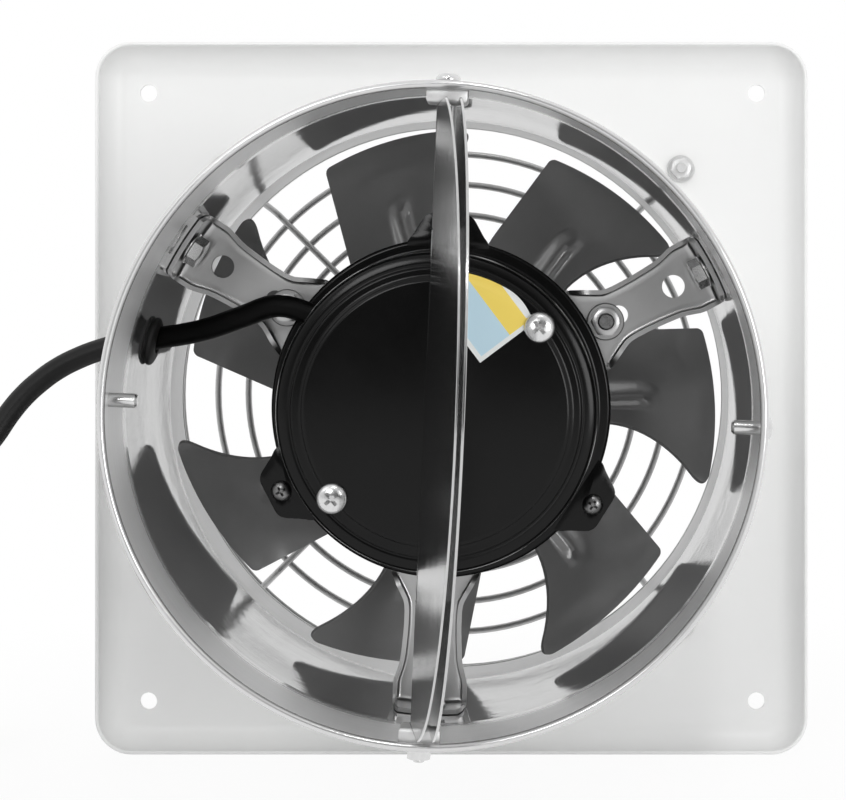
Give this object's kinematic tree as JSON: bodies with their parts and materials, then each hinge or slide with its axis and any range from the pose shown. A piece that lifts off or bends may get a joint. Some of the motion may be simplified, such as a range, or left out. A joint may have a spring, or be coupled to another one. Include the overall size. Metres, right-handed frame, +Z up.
{
  "type": "exhaust fan",
  "caption": "Wall exhaust fan with a square mounting plate, round steel duct, bladed impeller, wire guard, butterfly damper and power cord.",
  "frame": {"origin": "the point where the duct's axis meets the plane of the wall that the plate's turned edge rests on", "axes": "+Y from the wall into the room, -Y along the duct to its outlet, +Z up, +X to the right for someone who looks into the outlet"},
  "size_m": [0.2655, 0.2154, 0.207],
  "materials": {
    "white_paint": "satin white powder coat",
    "polished_steel": "mirror polished stainless sheet",
    "guard_wire": "plated welded wire",
    "zinc_steel": "bright zinc",
    "screw_steel": "nickel plated",
    "black_paint": "semi-gloss black",
    "impeller_paint": "dark grey satin",
    "black_rubber": "matt black",
    "copper": "varnished copper wire",
    "lamination": "stacked steel sheet",
    "pin_brass": "polished"
  },
  "bodies": {
    "housing": {"mounting_plate": "white_paint", "duct_tube": "polished_steel", "wire_guard": "guard_wire", "guard_centre_disc": "guard_wire", "guard_bolt_1": "screw_steel", "guard_bolt_2": "screw_steel", "guard_bolt_3": "screw_steel", "guard_bolt_4": "screw_steel", "bracket_1": "zinc_steel", "bracket_2": "zinc_steel", "bracket_3": "zinc_steel", "bracket_bolt_1": "screw_steel", "bracket_bolt_2": "screw_steel", "bracket_bolt_3": "screw_steel", "motor_front_cover": "black_paint", "motor_rear_housing": "black_paint", "ear_screw_1": "screw_steel", "ear_screw_2": "screw_steel", "ear_screw_3": "screw_steel", "cover_screw_1": "screw_steel", "cover_screw_2": "screw_steel", "motor_nut_1": "screw_steel", "motor_nut_2": "screw_steel", "motor_nut_3": "screw_steel", "stator_core": "lamination", "winding_front": "copper", "winding_rear": "copper", "bearing_front": "screw_steel", "bearing_rear": "screw_steel", "hinge_block_top": "zinc_steel", "hinge_block_bottom": "zinc_steel", "hinge_rod": "screw_steel", "hinge_nut": "screw_steel", "stop_screw_right": "screw_steel", "stop_screw_left": "screw_steel", "cord_grommet": "black_rubber", "motor_lead": "black_rubber", "power_cord": "black_rubber", "cord_coil": "black_rubber", "cord_tail": "black_rubber", "plug_body": "black_rubber", "plug_pin_1": "pin_brass", "plug_pin_2": "pin_brass"},
    "impeller": {"motor_shaft": "screw_steel", "rotor_core": "lamination", "impeller_hub": "impeller_paint", "impeller_nut": "screw_steel", "blade_1": "impeller_paint", "blade_2": "impeller_paint", "blade_3": "impeller_paint", "blade_4": "impeller_paint", "blade_5": "impeller_paint", "blade_6": "impeller_paint", "blade_7": "impeller_paint"},
    "right_flap": {"right_flap": "polished_steel"},
    "left_flap": {"left_flap": "polished_steel"}
  },
  "joints": [
    {"name": "impeller_spin", "type": "hinge", "parent": "housing", "child": "impeller", "pos_m": [0, -0.0165, 0], "axis": [0, -1, 0], "continuous": true},
    {"name": "right_flap_swing", "type": "hinge", "parent": "housing", "child": "right_flap", "pos_m": [0, -0.096, 0], "axis": [0.0436, 0, 0.999], "range_deg": [0, 84.2]},
    {"name": "left_flap_swing", "type": "hinge", "parent": "housing", "child": "left_flap", "pos_m": [0, -0.096, 0], "axis": [0.0436, 0, 0.999], "range_deg": [-97.9, 0]}
  ]
}
